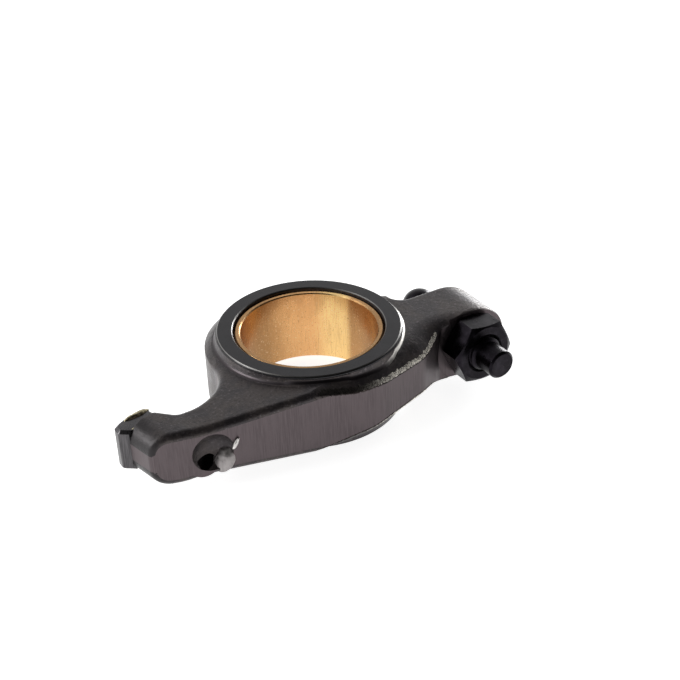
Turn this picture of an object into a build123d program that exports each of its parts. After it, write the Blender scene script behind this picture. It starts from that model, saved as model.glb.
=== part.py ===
"""Rocker arm: forged arm with pressed bush, brazed valve pad, adjusting screw and lock nut.

Frame: millimetres. Z is the axis of the shaft bore, and z = 0 is the middle of the hub, about
which the forging is alike above and below. +X runs to the adjusting-screw end and -X to the
valve end. The screw is parallel to Y, with its ball end on the +Y side and its nut on -Y.
"""
import os
from math import cos, radians, sin, sqrt, tan

from build123d import *

# ---- hub and shaft bore ------------------------------------------------------------------
hub_width = 23.0            # between the two machined ring faces
hub_radius = 29.0           # trimmed wall round the bore
ring_radius = 25.6          # machined ring on each side of the hub
ring_height = 1.3           # ring above the forged face of the screw arm
ring_draft = 8.0            # degrees that the ring spreads towards the forged face
ring_edge = 0.4             # chamfer on the ring's outer edge
bush_bore = 38.0            # running diameter on the shaft
bush_wall = 2.0
bush_recess = 0.8           # bush end below the ring face
bush_edge = 0.8             # outer lead chamfer of the bush
bush_bore_edge = 0.3        # inner chamfer of the bush
bore_edge = 0.3             # chamfer at each mouth of the arm's bore

# ---- valve arm (-X side), seen along Z; "back" is measured from its far end ------------------
valve_reach = 59.2                # bore axis to the far end of the ground end face
end_y = -10.6                     # that end, beside the valve pad
nose_back, nose_y = 1.8, -18.8    # front end of the ground end face
heel_back, heel_y = 8.6, -20.85   # front wall leaves the nose corner here, tangent to the hub
seat_back = 9.4                   # inner end of the pad seat
waist_back = 12.6                 # where the back wall steps out to the head
waist_y = -11.4                   # back wall at the narrow part
waist_blend_share = 0.7           # plan radius from the back wall into the hub, of that wall
step_blend = 2.0                  # plan radius where the wall steps out to the head
heel_blend = 6.0                  # plan radius behind the nose
arm_half = 7.5                    # half thickness at the waist
head_half = 7.8                   # half thickness of the head
head_length = 9.0                 # head, square to its end face
end_rounding = 5.4                # rounding from the head's faces into the end face
crest_back = 10.8                 # full thickness of the head ends
rise_back = 14.0                  # faces start to rise to the head
taper_back = 17.2                 # taper from the hub ends
taper_start_x = -4.0              # and starts
face_blend = 30.0                 # side-view radius at both ends of the taper
head_blend = 5.0                  # side-view radius where the faces rise to the head

# ---- valve pad ---------------------------------------------------------------------------
seat_slope = 15.0           # degrees from X to the brazed seat
pad_radius = 10.0           # contact face
pad_center_back, pad_center_y = 4.8, -13.5
pad_height = 12.2
pad_overhang = 2.2          # pad beyond the end face
pad_heel_back = 8.9         # inner end of the pad
pad_nose_width = 2.6        # flat of the nose below the contact face
pad_nose_blend = 1.0        # corners of the pad, seen along Z
pad_edge = 0.8              # chamfer of the pad's ends

# ---- screw arm (+X side) -----------------------------------------------------------------
screw_x = 42.3              # screw axis from the bore axis
eye_half_length = 12.2      # eye from the screw axis to its end
flank_angle = 47.2          # degrees from X to where the front wall turns towards the eye
flank_rise = 3.4            # that turn outside the hub wall
shoulder_inset = 10.8       # front wall meets the eye's front this far short of the screw axis
flank_blend = 14.0          # plan radius of that turn
shoulder_blend = 2.0        # plan radius where the flank meets the eye's front
eye_front_y = -18.0         # forged front of the eye
eye_back_y = -0.6           # forged back of the eye
eye_blend = 4.0             # plan radius from the eye's back into the hub
spotface_y = -17.0          # machined seat of the lock nut
spotface_radius = 11.9
mouth_edge = 0.7            # chamfer at the mouths of the screw's bore

# ---- forged edges ------------------------------------------------------------------------
edge_radius = 2.0           # rounding of the forged faces into the walls
crown_radius = 9.0          # large rounding of the forged faces all round the hub
crown_margin = 1.2          # its circle outside the trimmed hub wall
crown_shift = 1.0           # and towards the valve end
crown_blend = 8.0           # plan radius from the hub into the arms' backs
crown_front_margin = 1.65   # its straight front outside the hub wall
crown_turn_x = 3.0          # where that front turns along the flank
crown_turn_blend = 25.0
crown_flank_margin = 0.95   # its distance from the flank's turn
crown_eye_margin = 2.4      # and from the eye's front corner
crown_eye_blend = 10.0
arm_margin = 9.4            # its distance from the walls that it leaves whole

# ---- oil drilling ------------------------------------------------------------------------
oil_hole = 3.8
oil_angle = 38.0            # degrees from X, in plan
oil_x, oil_z = -45.4, -3.9  # mouth on the front wall
pocket_radius = 7.0         # ball-shaped pocket round the mouth
pocket_x, pocket_z = -42.0, -0.3
pocket_depth = 2.7

# ---- adjusting screw and lock nut --------------------------------------------------------
thread_major = 10.0
screw_clearance = 0.05      # radial, between the screw and the plain bores that stand for threads
ball_diameter = 10.5
ball_y = 7.3                # ball centre
neck_diameter = 7.0
neck_y = 0.8                # shank ends and the neck begins
shank_end_y = -25.4         # thread runs out just past the nut
tip_diameter = 8.3
tip_y = -32.2
tip_edge = 0.7
shank_edge = 0.6            # chamfer at both ends of the thread
nut_across_flats = 17.0
nut_height = 7.4
nut_bevel_angle = 30.0      # bevel of the hexagon's corners, from the nut's faces
nut_face_share = 0.95       # round face that the bevel leaves, as a share of the flats
nut_mouth = 11.8            # countersink at the nut's mouths
nut_turn = -4.7             # degrees that the nut stands turned about its axis

# ---- sizes that follow -------------------------------------------------------------------
hub_half = hub_width / 2
face_half = hub_half - ring_height
ring_foot = ring_radius + (hub_half - ring_edge) * tan(radians(ring_draft))
crown_reach = hub_radius + crown_margin
crown_front_y = -hub_radius - crown_front_margin
bush_radius = bush_bore / 2 + bush_wall
bush_half = hub_half - bush_recess
end_x = -valve_reach
nose_x = end_x + nose_back
heel_x = end_x + heel_back
head_x = end_x + seat_back
waist_x = end_x + waist_back
waist_root_x = -sqrt(hub_radius**2 - waist_y**2)
waist_blend = waist_blend_share * (waist_root_x - waist_x)
crest_x = end_x + crest_back
rise_x = end_x + rise_back
taper_end_x = end_x + taper_back
pad_nose_x = end_x - pad_overhang
pad_center_x = end_x + pad_center_back
pad_heel_x = end_x + pad_heel_back
eye_end_x = screw_x + eye_half_length
shoulder_x = screw_x - shoulder_inset
flank_x = (hub_radius + flank_rise) * cos(radians(flank_angle))
flank_y = -(hub_radius + flank_rise) * sin(radians(flank_angle))
reach = 2 * abs(pad_nose_x)
upright = 0.01              # a wall's normal leans along Z by less than this

thread_radius = thread_major / 2
screw_bore_radius = thread_radius + screw_clearance
tip_radius = tip_diameter / 2
neck_radius = neck_diameter / 2
ball_radius = ball_diameter / 2
neck_end_y = ball_y - sqrt(ball_radius**2 - neck_radius**2)

nut_front_y = spotface_y - nut_height
nut_corner_radius = nut_across_flats / sqrt(3)
nut_face_radius = nut_face_share * nut_across_flats / 2
nut_bevel = (nut_corner_radius - nut_face_radius) * tan(radians(nut_bevel_angle))


def tangent_point(x, y, side):
    """Where the line from (x, y) touches the hub wall; side is +1 or -1 round the hub."""
    distance = sqrt(x * x + y * y)
    along = hub_radius * hub_radius / distance
    across = side * hub_radius * sqrt(distance * distance - hub_radius * hub_radius) / distance
    return ((x * along - y * across) / distance, (y * along + x * across) / distance)


def seat_y(x):
    """The pad's seat line at x."""
    return end_y + (x - end_x) * tan(radians(seat_slope))


def contact_y(x):
    """The pad's contact face at x."""
    return pad_center_y + sqrt(pad_radius**2 - (x - pad_center_x) ** 2)


def nearest(shapes, x, y, z=0.0):
    """The shape whose centre is nearest to a point."""
    target = Vector(x, y, z)
    return min(shapes, key=lambda shape: (shape.center() - target).length)


def on_front(point):
    """True on the -Y side of the arm."""
    return point.Y < (waist_y + nose_y) / 2


def on_back(point):
    """True on the +Y side of the arm, short of the pad's seat."""
    return not on_front(point) and point.X > head_x


def wall_edges(part, wanted):
    """Edges between the upright walls and the forged faces, where wanted(centre) is true."""
    walls = [face for face in part.faces() if abs(face.normal_at().Z) < upright]
    rims = [edge for edge in ShapeList(walls).edges() if abs((edge % 0.5).Z) < 1 - upright]
    return [edge for edge in rims if wanted(edge.center())]


def short_of_ends(point):
    """True short of the far ends of the crown's outline."""
    return abs(point.X) < reach - crown_radius


def round_corner(side, y):
    """Where a line along X at y leaves the crown's circle; side is -1 or +1 along X."""
    return side * sqrt(crown_reach**2 - y**2) - crown_shift, y


def is_mouth(edge):
    """True for a mouth of the screw's bore."""
    return abs(edge.radius - screw_bore_radius) < 0.001


def on_seat(edge):
    """True for an edge that lies on the pad's brazed seat."""
    middle = edge % 0.5
    point = edge @ 0.5
    return abs(point.Y - seat_y(point.X)) < 0.001 or abs(middle.Z) > 0.001


front_left = tangent_point(heel_x, heel_y, 1)
front_right = tangent_point(flank_x, flank_y, -1)

# valve pad's corners, seen along Z
pad_nose_tip = (pad_nose_x, contact_y(pad_nose_x))
pad_nose_foot = (pad_nose_x, contact_y(pad_nose_x) - pad_nose_width)
pad_crown = (pad_center_x, contact_y(pad_center_x))
pad_heel_tip = (pad_heel_x, contact_y(pad_heel_x))
pad_heel_foot = (pad_heel_x, seat_y(pad_heel_x))

# the front wall of the valve arm, its outward normal, and what is cut into it
front_run = Vector(front_left[0] - heel_x, front_left[1] - heel_y, 0).normalized()
front_normal = front_run.cross(Vector(0, 0, 1))


def front_wall(x, z):
    """The point of the front wall at x and z."""
    return Vector(x, heel_y + (x - heel_x) * front_run.Y / front_run.X, z)


pocket_center = front_wall(pocket_x, pocket_z) + front_normal * (pocket_radius - pocket_depth)
oil_run = Vector(cos(radians(oil_angle)), sin(radians(oil_angle)), 0)
oil_mouth = front_wall(oil_x, oil_z)
oil_offset = abs(oil_mouth.X * oil_run.Y - oil_mouth.Y * oil_run.X)
oil_length = oil_hole - oil_mouth.dot(oil_run) - sqrt((bush_bore / 2) ** 2 - oil_offset**2)

# planes of the cuts
end_inward = Vector(end_y - nose_y, nose_x - end_x, 0).normalized()
end_plane = Plane(
    origin=(end_x, end_y, 0),
    x_dir=end_inward,
    z_dir=end_inward.cross(Vector(0, 0, 1)),
)
screw_plane = Plane(origin=(screw_x, 0, 0), x_dir=(1, 0, 0), z_dir=(0, -1, 0))
oil_plane = Plane(origin=oil_mouth, z_dir=oil_run)

# ---- large rounding of the forged faces ----------------------------------------------------
with BuildPart() as crown:
    with BuildSketch() as crown_plan:
        with Locations((-crown_shift, 0)):
            Circle(crown_reach)
        with BuildLine():
            Polyline(
                (0, crown_front_y),
                (-reach, crown_front_y),
                (-reach, waist_y + arm_margin),
                (0, waist_y + arm_margin),
                close=True,
            )
        make_face()
        with BuildLine():
            Polyline(
                (0, crown_front_y),
                (crown_turn_x, crown_front_y),
                (flank_x, flank_y - crown_flank_margin),
                (shoulder_x, eye_front_y - crown_eye_margin),
                (screw_x, eye_front_y - arm_margin),
                (reach, eye_front_y - arm_margin),
                (reach, eye_back_y + arm_margin),
                (0, eye_back_y + arm_margin),
                close=True,
            )
        make_face()
        fillet(nearest(crown_plan.vertices(), *round_corner(-1, waist_y + arm_margin)), crown_blend)
        fillet(nearest(crown_plan.vertices(), *round_corner(1, eye_back_y + arm_margin)), crown_blend)
        fillet(nearest(crown_plan.vertices(), crown_turn_x, crown_front_y), crown_turn_blend)
        corner = nearest(crown_plan.vertices(), shoulder_x, eye_front_y - crown_eye_margin)
        fillet(corner, crown_eye_blend)
    extrude(amount=face_half, both=True)
    fillet(wall_edges(crown.part, short_of_ends), crown_radius)

# ---- forged arm --------------------------------------------------------------------------
with BuildPart() as rocker_arm:
    # plan of the hub and both arms
    with BuildSketch() as plan:
        with BuildLine():
            Polyline(
                (0, waist_y),
                (waist_x, waist_y),
                (head_x, seat_y(head_x)),
                (end_x, end_y),
                (nose_x, nose_y),
                (heel_x, heel_y),
                front_left,
            )
            ThreePointArc(front_left, (0, -hub_radius), front_right)
            Polyline(
                front_right,
                (flank_x, flank_y),
                (shoulder_x, eye_front_y),
                (eye_end_x, eye_front_y),
                (eye_end_x, eye_back_y),
                (0, eye_back_y),
                (0, waist_y),
            )
        make_face()
        Circle(hub_radius)
        fillet(nearest(plan.vertices(), waist_root_x, waist_y), waist_blend)
        fillet(nearest(plan.vertices(), hub_radius, eye_back_y), eye_blend)
        fillet(nearest(plan.vertices(), waist_x, waist_y), step_blend)
        fillet(nearest(plan.vertices(), heel_x, heel_y), heel_blend)
        fillet(nearest(plan.vertices(), flank_x, flank_y), flank_blend)
        fillet(nearest(plan.vertices(), shoulder_x, eye_front_y), shoulder_blend)
    extrude(amount=hub_half, both=True)

    # thickness along the arm, seen from the front
    with BuildSketch(Plane.XZ) as thickness:
        with BuildLine():
            Polyline(
                (-reach, 0),
                (-reach, head_half),
                (crest_x, head_half),
                (rise_x, arm_half),
                (taper_end_x, arm_half),
                (taper_start_x, face_half),
                (screw_x, face_half),
            )
            EllipticalCenterArc((screw_x, 0), eye_half_length, face_half, 0, arc_size=90)
            mirror(about=Plane.XZ)
        make_face()
        for side in (1, -1):
            fillet(nearest(thickness.vertices(), crest_x, side * head_half), head_blend)
            fillet(nearest(thickness.vertices(), rise_x, side * arm_half), head_blend)
            fillet(nearest(thickness.vertices(), taper_end_x, side * arm_half), face_blend)
            fillet(nearest(thickness.vertices(), taper_start_x, side * face_half), face_blend)
    extrude(amount=reach, both=True, mode=Mode.INTERSECT)

    # rounding from the head's faces into the ground end face
    with BuildSketch(end_plane) as end_shape:
        with BuildLine():
            Polyline(
                (reach, 0),
                (reach, hub_width),
                (head_length, hub_width),
                (head_length, head_half),
                (0, head_half),
                (0, 0),
            )
            mirror(about=Plane.XZ)
        make_face()
        for side in (1, -1):
            fillet(nearest(end_shape.vertices(), 0, side * head_half), end_rounding)
    extrude(amount=reach, both=True, mode=Mode.INTERSECT)

    # rounding of the forged faces into the walls
    fillet(wall_edges(rocker_arm.part, on_front), edge_radius)
    fillet(wall_edges(rocker_arm.part, on_back), edge_radius)

    add(crown.part, mode=Mode.INTERSECT)

    # machined ring on each face of the hub, with its draft
    with BuildSketch(Plane.XZ):
        with BuildLine():
            Polyline(
                (ring_foot, 0),
                (ring_radius, hub_half - ring_edge),
                (ring_radius - ring_edge, hub_half),
                (0, hub_half),
                (0, 0),
            )
            mirror(about=Plane.XZ)
        make_face()
    revolve(axis=Axis.Z)

    # shaft bore, chamfered at both mouths
    with BuildSketch(Plane.XZ):
        with BuildLine():
            Polyline(
                (bush_radius, 0),
                (bush_radius, hub_half - bore_edge),
                (bush_radius + bore_edge, hub_half),
                (0, hub_half),
                (0, 0),
            )
            mirror(about=Plane.XZ)
        make_face()
    revolve(axis=Axis.Z, mode=Mode.SUBTRACT)

    # spotface for the lock nut, and the screw's bore
    with BuildSketch(screw_plane.offset(-spotface_y)):
        Circle(spotface_radius)
    extrude(amount=hub_width, mode=Mode.SUBTRACT)
    with BuildSketch(screw_plane):
        Circle(screw_bore_radius)
    extrude(amount=reach, both=True, mode=Mode.SUBTRACT)
    mouths = rocker_arm.edges().filter_by(GeomType.CIRCLE)
    chamfer([edge for edge in mouths if is_mouth(edge)], mouth_edge)

    # ball-shaped pocket in the front wall, and the oil drilling from it into the bore
    with Locations(pocket_center):
        Sphere(pocket_radius, mode=Mode.SUBTRACT)
    with BuildSketch(oil_plane):
        Circle(oil_hole / 2)
    extrude(amount=oil_length, mode=Mode.SUBTRACT)
rocker_arm.part.label = "rocker_arm"

# ---- bush --------------------------------------------------------------------------------
with BuildPart() as bush:
    with BuildSketch():
        Circle(bush_radius)
        Circle(bush_bore / 2, mode=Mode.SUBTRACT)
    extrude(amount=bush_half, both=True)
    rims = bush.edges().filter_by(GeomType.CIRCLE)
    chamfer([edge for edge in rims if edge.radius > bush_radius - bush_wall / 2], bush_edge)
    chamfer([edge for edge in rims if edge.radius < bush_radius - bush_wall / 2], bush_bore_edge)
    with BuildSketch(oil_plane):
        Circle(oil_hole / 2)
    extrude(amount=oil_length, mode=Mode.SUBTRACT)
bush.part.label = "bush"

# ---- valve pad ---------------------------------------------------------------------------
with BuildPart() as valve_pad:
    with BuildSketch() as pad_section:
        with BuildLine():
            Line((end_x, end_y), pad_nose_foot)
            Line(pad_nose_foot, pad_nose_tip)
            ThreePointArc(pad_nose_tip, pad_crown, pad_heel_tip)
            Line(pad_heel_tip, pad_heel_foot)
            Line(pad_heel_foot, (end_x, end_y))
        make_face()
        fillet(nearest(pad_section.vertices(), *pad_nose_tip), pad_nose_blend)
        fillet(nearest(pad_section.vertices(), *pad_nose_foot), pad_nose_blend)
        fillet(nearest(pad_section.vertices(), *pad_heel_tip), pad_nose_blend)
    extrude(amount=pad_height / 2, both=True)
    ends = [edge for edge in valve_pad.edges() if not on_seat(edge) and (edge % 0.5).Z == 0]
    chamfer(ends, pad_edge)
valve_pad.part.label = "valve_pad"

# ---- adjusting screw ---------------------------------------------------------------------
with BuildPart() as adjusting_screw:
    with BuildSketch():
        with BuildLine():
            Polyline(
                (screw_x, ball_y + ball_radius),
                (screw_x, tip_y),
                (screw_x + tip_radius - tip_edge, tip_y),
                (screw_x + tip_radius, tip_y + tip_edge),
                (screw_x + tip_radius, shank_end_y),
                (screw_x + thread_radius - shank_edge, shank_end_y),
                (screw_x + thread_radius, shank_end_y + shank_edge),
                (screw_x + thread_radius, neck_y - shank_edge),
                (screw_x + thread_radius - shank_edge, neck_y),
                (screw_x + neck_radius, neck_y),
                (screw_x + neck_radius, neck_end_y),
            )
            ThreePointArc(
                (screw_x + neck_radius, neck_end_y),
                (screw_x + ball_radius, ball_y),
                (screw_x, ball_y + ball_radius),
            )
        make_face()
    revolve(axis=Axis((screw_x, 0, 0), (0, 1, 0)))
adjusting_screw.part.label = "adjusting_screw"

# ---- lock nut ----------------------------------------------------------------------------
with BuildPart() as lock_nut:
    with BuildSketch(screw_plane.offset(-spotface_y)):
        RegularPolygon(nut_across_flats / 2, 6, major_radius=False, rotation=nut_turn)
    extrude(amount=nut_height)
    # bevelled corners
    with BuildSketch():
        with BuildLine():
            Polyline(
                (screw_x, spotface_y),
                (screw_x + nut_face_radius, spotface_y),
                (screw_x + nut_corner_radius, spotface_y - nut_bevel),
                (screw_x + nut_corner_radius, nut_front_y + nut_bevel),
                (screw_x + nut_face_radius, nut_front_y),
                (screw_x, nut_front_y),
                close=True,
            )
        make_face()
    revolve(axis=Axis((screw_x, 0, 0), (0, 1, 0)), mode=Mode.INTERSECT)
    with BuildSketch(screw_plane):
        Circle(screw_bore_radius)
    extrude(amount=reach, both=True, mode=Mode.SUBTRACT)
    mouths = lock_nut.edges().filter_by(GeomType.CIRCLE)
    chamfer([edge for edge in mouths if is_mouth(edge)], nut_mouth / 2 - screw_bore_radius)
lock_nut.part.label = "lock_nut"

# ---- files -------------------------------------------------------------------------------
os.makedirs("parts", exist_ok=True)
for piece in (rocker_arm, bush, valve_pad, adjusting_screw, lock_nut):
    export_step(piece.part, f"parts/{piece.part.label}.step")
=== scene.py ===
"""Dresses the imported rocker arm: skins, trimmed flash, bronze, braze and cut thread.

Settings and meshes are in metres. The operators work in millimetres, which in_mm gives them.
The frame is the arm's own: Z is the shaft bore, +X the screw end, and -Y the lock nut's side.
"""
from math import asin, cos, hypot, pi, radians, sin, sqrt, tan
from types import SimpleNamespace

import bmesh
import bpy
from bpy.props import FloatProperty, FloatVectorProperty, IntProperty, PointerProperty
from mathutils import Matrix, Vector, noise
from mathutils.bvhtree import BVHTree


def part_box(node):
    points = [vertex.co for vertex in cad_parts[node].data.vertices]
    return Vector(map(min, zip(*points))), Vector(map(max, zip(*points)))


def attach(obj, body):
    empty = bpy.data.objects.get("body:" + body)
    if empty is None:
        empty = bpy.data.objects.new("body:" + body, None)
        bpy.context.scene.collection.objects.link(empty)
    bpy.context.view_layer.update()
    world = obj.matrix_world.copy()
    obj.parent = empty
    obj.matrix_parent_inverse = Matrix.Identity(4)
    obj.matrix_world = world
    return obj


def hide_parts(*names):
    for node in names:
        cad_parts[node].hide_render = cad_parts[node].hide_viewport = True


bl_info = {
    "name": "Rocker Arm Dressing",
    "version": (1, 0, 0),
    "blender": (4, 5, 0),
    "location": "View3D > Sidebar > Rocker Arm",
    "description": "Finishes a forged rocker arm with its bush, pad, adjusting screw and lock nut",
    "category": "Object",
}

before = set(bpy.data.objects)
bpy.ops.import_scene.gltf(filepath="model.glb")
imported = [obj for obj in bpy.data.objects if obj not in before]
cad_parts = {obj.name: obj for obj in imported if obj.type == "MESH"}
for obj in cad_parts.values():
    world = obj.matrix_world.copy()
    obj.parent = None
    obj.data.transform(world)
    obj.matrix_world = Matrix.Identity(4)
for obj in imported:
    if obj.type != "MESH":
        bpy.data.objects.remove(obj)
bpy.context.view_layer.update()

MM = 0.001
ARM_LOW, ARM_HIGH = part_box("rocker_arm")
SCREW_LOW, SCREW_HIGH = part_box("adjusting_screw")
PAD_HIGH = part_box("valve_pad")[1]
SCREW_X = (SCREW_LOW.x + SCREW_HIGH.x) / 2
JOIN = 0.001 * MM    # corners nearer than this are one corner
HUB_HALF = ARM_HIGH.z / MM    # half the hub's height, in millimetres
RAY_START = 10    # rays at the arm start this far outside it, in millimetres
SUNK = 0.02       # edges of the added strips lie this far under the arm, in millimetres


# ---- settings ----------------------------------------------------------------------------
def length(name, description, value):
    """A length that a user can change, with its default in millimetres."""
    return FloatProperty(name=name, description=description, unit="LENGTH", default=value * MM)


def lengths(name, description, values, subtype="NONE"):
    """Lengths that belong together, with their defaults in millimetres."""
    return FloatVectorProperty(
        name=name, description=description, unit="LENGTH", subtype=subtype,
        size=len(values), default=[value * MM for value in values],
    )


def angle(name, description, degrees):
    """An angle, with its default in degrees."""
    return FloatProperty(
        name=name, description=description, subtype="ANGLE", default=radians(degrees)
    )


def tint(name, description, channels):
    """The colour of a finish."""
    return FloatVectorProperty(
        name=name, description=description, subtype="COLOR", default=channels
    )


class ForgingSettings(bpy.types.PropertyGroup):
    """Sizes and colours of the arm's forged and machined surfaces"""

    skin: tint("Forged skin", "Colour of the phosphated forging", (0.052, 0.045, 0.048))
    wall: tint("Trimmed wall", "Colour of the sheared wall", (0.096, 0.079, 0.083))
    machined: tint("Machined face", "Colour of the turned faces", (0.036, 0.035, 0.037))
    # the skin gets darker towards the valve end between these two X
    end_darkening: lengths("Scorch", "X where the scorch is full, and where it ends", (-54.5, -50.5))
    ring_radius: length("Ring radius", "Outer radius of the machined ring", 25.6)
    ring_height: length("Ring height", "Height of the ring over the forged face", 1.3)
    root_reach: length("Root reach", "Size of the hollow fillet at the ring's foot", 1.1)
    draft: FloatProperty(
        name="Draft", description="Spread of the ring's side for each length that it falls",
        default=0.9,
    )
    draft_start: length("Draft start", "Fall from which the ring's side spreads", 1.5)
    rim_draft: length("Rim draft", "Forged side's start beyond the machined rim", 0.14)
    rim_top: length("Rim top", "Forged side's start under the ring's face", 0.7)


class FlashSettings(bpy.types.PropertyGroup):
    """The ragged strips that trimming leaves along the front wall"""

    start: length("Start", "Where the strips start along X", -16.0)
    end: length("End", "Where the strips end along X", 30.6)
    width: length("Width", "Height that a strip covers", 1.5)
    height: length("Height", "How far the burr stands proud", 0.2)
    step: length("Step", "Length between two sections", 0.12)
    seed: IntProperty(name="Seed", description="Picks the ragged pattern", default=7)


class PocketSettings(bpy.types.PropertyGroup):
    """The forged pocket in the front wall and the oil hole in it"""

    centre: lengths("Centre", "Pocket's centre, X and Z", (-42.0, -0.3))
    rim: length("Rim", "Radius of the pocket's rim", 5.5)
    hole: lengths("Hole", "Oil hole's centre, X and Z", (-44.5, -2.9))
    hole_radius: length("Hole radius", "Radius of the oil hole's mouth", 2.0)
    patch: length("Patch", "Width of the trued rim", 2.2)
    lip: lengths(
        "Lip", "Path of the raised lip, X and Z of three points",
        (-36.6, -0.6, -38.1, -4.4, -40.3, -8.0),
    )
    lip_radius: length("Lip radius", "Radius of the lip's bead", 2.9)
    lip_depth: length("Lip depth", "Depth of the lip's middle line in the wall", 2.25)
    burr: lengths(
        "Burr", "Path of the burr, X and Z of three points",
        (-35.3, 2.5, -36.2, 0.9, -37.1, -0.7),
    )
    burr_radius: length("Burr radius", "Radius of the burr", 0.6)
    burr_depth: length("Burr depth", "Depth of the burr's middle line in the wall", -0.2)
    lumps: length("Lumps", "Unevenness of lip and burr", 0.5)


class BushSettings(bpy.types.PropertyGroup):
    """The bronze bush's colour and its painted highlight band"""

    bronze: tint("Bronze", "Colour of the bored bronze", (0.82, 0.455, 0.19))
    # the painted highlight band lies at this angle round the bore
    highlight_angle: angle("Load angle", "Side that the shaft burnishes, about Z from X", 38)


class BrazeSettings(bpy.types.PropertyGroup):
    """The valve pad's rounding and the braze along its seat"""

    pad_rounding: length("Pad rounding", "Rounding of the pad's edges", 0.35)
    seat_slope: angle("Seat slope", "Slope of the pad's seat", 15)
    end_x: length("End X", "Arm's end beside the pad", -59.2)
    end_y: length("End Y", "Arm's end beside the pad", -10.6)
    seam: length("Seam", "Radius of the bead in the seat's corner", 0.45)
    smear: length("Smear", "Radius of the braze smear", 0.95)
    lay: length("Lay", "Smear's distance from the seat onto the pad", 4.6)
    lumps: length("Lumps", "Unevenness of the beads", 0.5)


class ThreadSettings(bpy.types.PropertyGroup):
    """The adjusting screw's thread and turned form"""

    pitch: length("Pitch", "Thread pitch", 1.0)
    depth: length("Depth", "Thread depth", 0.6)
    major: length("Major diameter", "Over the thread's crests", 10.0)
    thread_low: length("Thread start", "Nut's end of the thread along Y", -25.4)
    thread_high: length("Thread end", "Ball's end of the thread along Y", 0.8)
    tip: length("Tip diameter", "Plain end past the nut", 8.3)
    neck: length("Neck diameter", "Neck under the ball", 7.0)
    edge: length("Edge", "Chamfer at the ends", 0.6)
    segments: IntProperty(name="Segments", description="Steps round the screw", default=72)
    rows: IntProperty(name="Rows", description="Steps along the screw's profile", default=620)


class StageSettings(bpy.types.PropertyGroup):
    """Camera and light"""

    azimuth: angle("Azimuth", "Camera's angle round the arm", -31.1)
    elevation: angle("Elevation", "Camera's angle over the floor", 32.05)
    roll: angle("Roll", "Camera's turn about its own axis", 1.85)
    distance: length("Distance", "Camera to the aim point", 350.0)
    lens: FloatProperty(name="Lens", description="Focal length", unit="CAMERA", default=67.54)
    aim: lengths("Aim", "Point at the middle of the frame", (6.02, -6.28, 7.87), subtype="XYZ")
    sky: FloatProperty(
        name="Sky", description="Brightness of the tent round the arm", default=0.95
    )
    dark_side: FloatVectorProperty(
        name="Dark side", description="Direction of the tent's dark opening",
        subtype="DIRECTION", default=(0.12, -0.632, 0.766),
    )
    right_power: FloatProperty(
        name="Right power", description="Power of the light behind the screw end",
        unit="POWER", default=1.1,
    )
    left_power: FloatProperty(
        name="Left power", description="Power of the light behind the valve end",
        unit="POWER", default=1.2,
    )


def in_mm(group):
    """A group's values by name, with its lengths in millimetres."""
    values = {}
    for name in group.__annotations__:
        value = getattr(group, name)
        if group.bl_rna.properties[name].unit == "LENGTH":
            value = value / MM if isinstance(value, float) else [part / MM for part in value]
        values[name] = value
    return SimpleNamespace(**values)


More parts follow.
